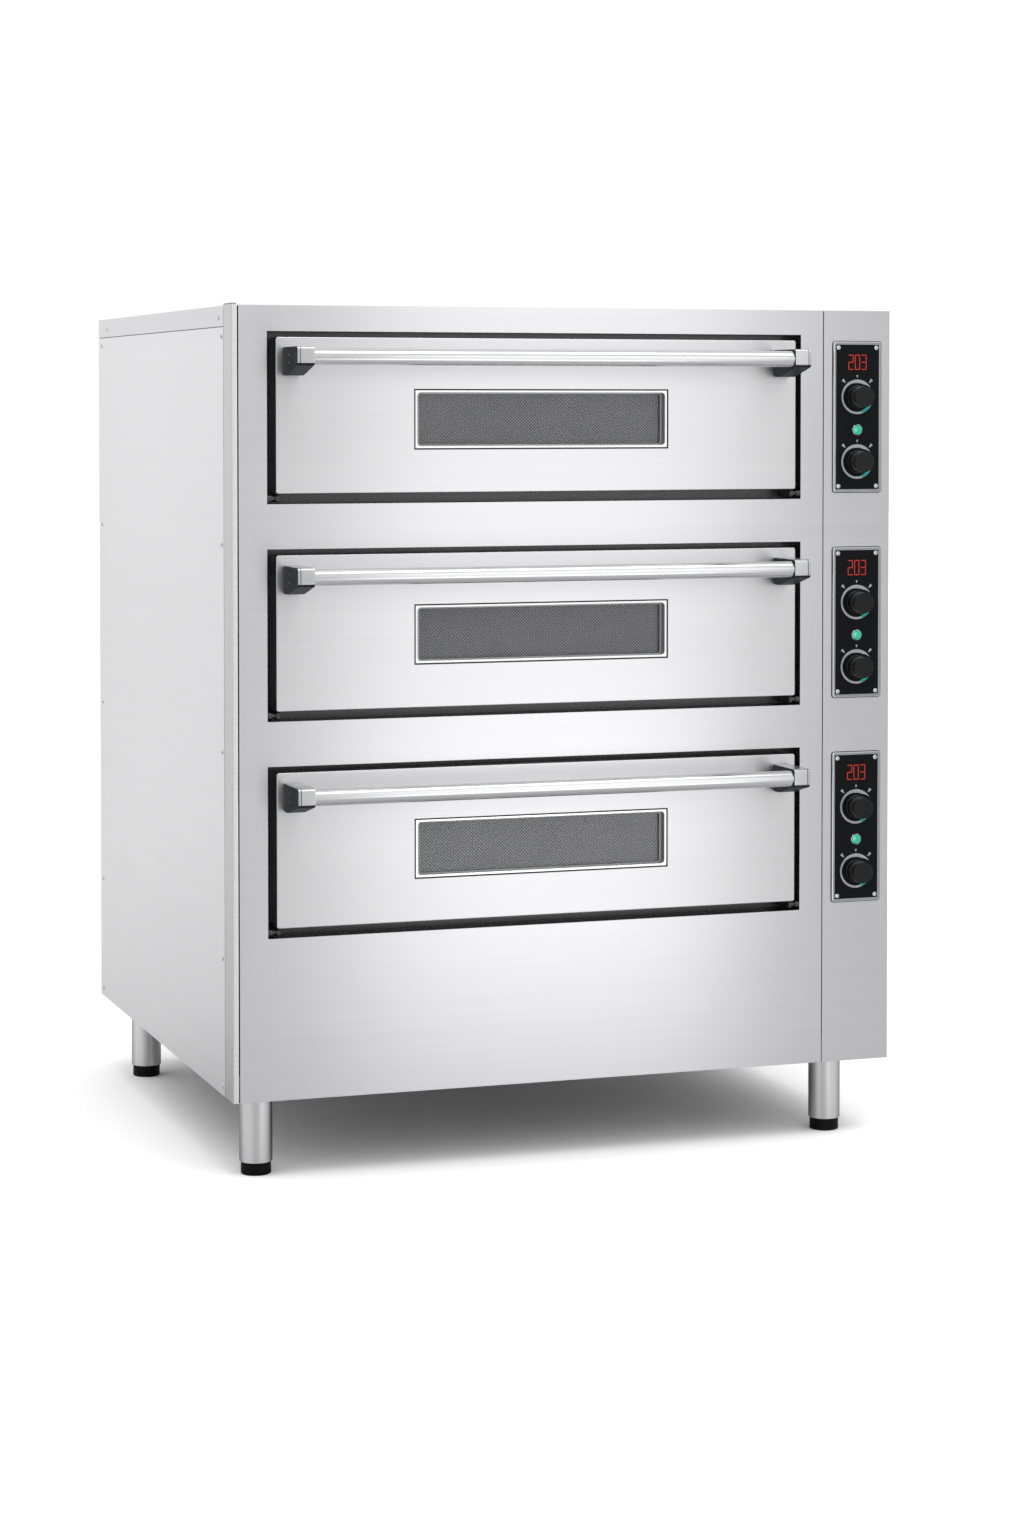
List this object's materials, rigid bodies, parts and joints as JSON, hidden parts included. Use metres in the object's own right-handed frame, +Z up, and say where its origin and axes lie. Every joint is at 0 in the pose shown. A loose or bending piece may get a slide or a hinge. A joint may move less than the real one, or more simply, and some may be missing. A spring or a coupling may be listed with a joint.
{
  "type": "deck oven",
  "caption": "Free-standing electric deck oven for a bakery: stacked baking chambers with drop-down doors, a control column at the right and round steel legs.",
  "frame": {"origin": "on the floor, at the centre of the bounding box's footprint", "axes": "+X to the right of someone facing the doors, +Y to the back, +Z up"},
  "size_m": [1.22, 1.235, 1.489],
  "materials": {
    "casing_steel": "satin",
    "door_steel": "satin",
    "frame_steel": "satin",
    "black_enamel": "satin",
    "liner_steel": "matte",
    "mineral_wool": "matte",
    "hearth_stone": "matte",
    "element_steel": "matte",
    "rim_steel": "satin",
    "window_glass": "gloss",
    "screen_steel": "matte",
    "handle_tube": "satin",
    "handle_bracket": "satin",
    "bezel_silver": "satin",
    "panel_black": "gloss",
    "display_red": "gloss",
    "pilot_green": "gloss",
    "knob_black": "satin",
    "regulator_plastic": "matte",
    "screw_steel": "satin",
    "leg_steel": "satin",
    "foot_black": "satin",
    "gland_black": "matte",
    "lamp_glass": "gloss",
    "contactor_grey": "matte"
  },
  "bodies": {
    "casing": {"welded_frame": "frame_steel", "leg_tubes": "leg_steel", "bottom_panel": "casing_steel", "front_fascia": "casing_steel", "control_column_front": "casing_steel", "corner_post": "casing_steel", "left_side_panel": "casing_steel", "right_side_panel": "casing_steel", "top_panel": "casing_steel", "back_panel": "casing_steel", "door_frames": "black_enamel", "chamber_liners": "liner_steel", "chamber_insulation": "mineral_wool", "hearth_stones": "hearth_stone", "heating_elements": "element_steel", "oven_lamps": "lamp_glass", "flue_spigots": "casing_steel", "partition_wall": "frame_steel", "contactors": "contactor_grey", "cable_gland": "gland_black", "control_bezels": "bezel_silver", "control_plates": "panel_black", "displays": "display_red", "indicator_lamps": "pilot_green", "heat_regulators": "regulator_plastic", "screws": "screw_steel"},
    "door_lower": {"door_skin_lower": "door_steel", "door_liner_lower": "liner_steel", "door_insulation_lower": "mineral_wool", "window_frame_lower": "rim_steel", "window_glass_lower": "window_glass", "window_screen_lower": "screen_steel", "handle_brackets_lower": "handle_bracket", "handle_bar_lower": "handle_tube"},
    "knob_upper_heat_lower": {"knob_upper_heat_lower": "knob_black"},
    "knob_lower_heat_lower": {"knob_lower_heat_lower": "knob_black"},
    "door_middle": {"door_skin_middle": "door_steel", "door_liner_middle": "liner_steel", "door_insulation_middle": "mineral_wool", "window_frame_middle": "rim_steel", "window_glass_middle": "window_glass", "window_screen_middle": "screen_steel", "handle_brackets_middle": "handle_bracket", "handle_bar_middle": "handle_tube"},
    "knob_upper_heat_middle": {"knob_upper_heat_middle": "knob_black"},
    "knob_lower_heat_middle": {"knob_lower_heat_middle": "knob_black"},
    "door_upper": {"door_skin_upper": "door_steel", "door_liner_upper": "liner_steel", "door_insulation_upper": "mineral_wool", "window_frame_upper": "rim_steel", "window_glass_upper": "window_glass", "window_screen_upper": "screen_steel", "handle_brackets_upper": "handle_bracket", "handle_bar_upper": "handle_tube"},
    "knob_upper_heat_upper": {"knob_upper_heat_upper": "knob_black"},
    "knob_lower_heat_upper": {"knob_lower_heat_upper": "knob_black"},
    "foot_front_left": {"levelling_foot_front_left": "foot_black"},
    "foot_rear_left": {"levelling_foot_rear_left": "foot_black"},
    "foot_front_right": {"levelling_foot_front_right": "foot_black"},
    "foot_rear_right": {"levelling_foot_rear_right": "foot_black"}
  },
  "joints": [
    {"name": "door_lower_hinge", "type": "hinge", "parent": "casing", "child": "door_lower", "pos_m": [-0.057, -0.5085, 0.423], "axis": [1, 0, 0], "range_deg": [0, 90], "stiffness_Nm_per_rad": 4, "springref_deg": -28.65},
    {"name": "knob_upper_heat_lower_turn", "type": "hinge", "parent": "casing", "child": "knob_upper_heat_lower", "pos_m": [0.543, -0.5325, 0.595], "axis": [0, 1, 0], "range_deg": [0, 270]},
    {"name": "knob_lower_heat_lower_turn", "type": "hinge", "parent": "casing", "child": "knob_lower_heat_lower", "pos_m": [0.543, -0.5325, 0.479], "axis": [0, 1, 0], "range_deg": [0, 270]},
    {"name": "door_middle_hinge", "type": "hinge", "parent": "casing", "child": "door_middle", "pos_m": [-0.057, -0.5085, 0.7915], "axis": [1, 0, 0], "range_deg": [0, 90], "stiffness_Nm_per_rad": 4, "springref_deg": -28.65},
    {"name": "knob_upper_heat_middle_turn", "type": "hinge", "parent": "casing", "child": "knob_upper_heat_middle", "pos_m": [0.543, -0.5325, 0.9635], "axis": [0, 1, 0], "range_deg": [0, 270]},
    {"name": "knob_lower_heat_middle_turn", "type": "hinge", "parent": "casing", "child": "knob_lower_heat_middle", "pos_m": [0.543, -0.5325, 0.8475], "axis": [0, 1, 0], "range_deg": [0, 270]},
    {"name": "door_upper_hinge", "type": "hinge", "parent": "casing", "child": "door_upper", "pos_m": [-0.057, -0.5085, 1.16], "axis": [1, 0, 0], "range_deg": [0, 90], "stiffness_Nm_per_rad": 4, "springref_deg": -28.65},
    {"name": "knob_upper_heat_upper_turn", "type": "hinge", "parent": "casing", "child": "knob_upper_heat_upper", "pos_m": [0.543, -0.5325, 1.332], "axis": [0, 1, 0], "range_deg": [0, 270]},
    {"name": "knob_lower_heat_upper_turn", "type": "hinge", "parent": "casing", "child": "knob_lower_heat_upper", "pos_m": [0.543, -0.5325, 1.216], "axis": [0, 1, 0], "range_deg": [0, 270]},
    {"name": "foot_front_left_screw", "type": "slide", "parent": "casing", "child": "foot_front_left", "axis": [0, 0, -1], "range_m": [0, 0.03]},
    {"name": "foot_rear_left_screw", "type": "slide", "parent": "casing", "child": "foot_rear_left", "axis": [0, 0, -1], "range_m": [0, 0.03]},
    {"name": "foot_front_right_screw", "type": "slide", "parent": "casing", "child": "foot_front_right", "axis": [0, 0, -1], "range_m": [0, 0.03]},
    {"name": "foot_rear_right_screw", "type": "slide", "parent": "casing", "child": "foot_rear_right", "axis": [0, 0, -1], "range_m": [0, 0.03]}
  ]
}
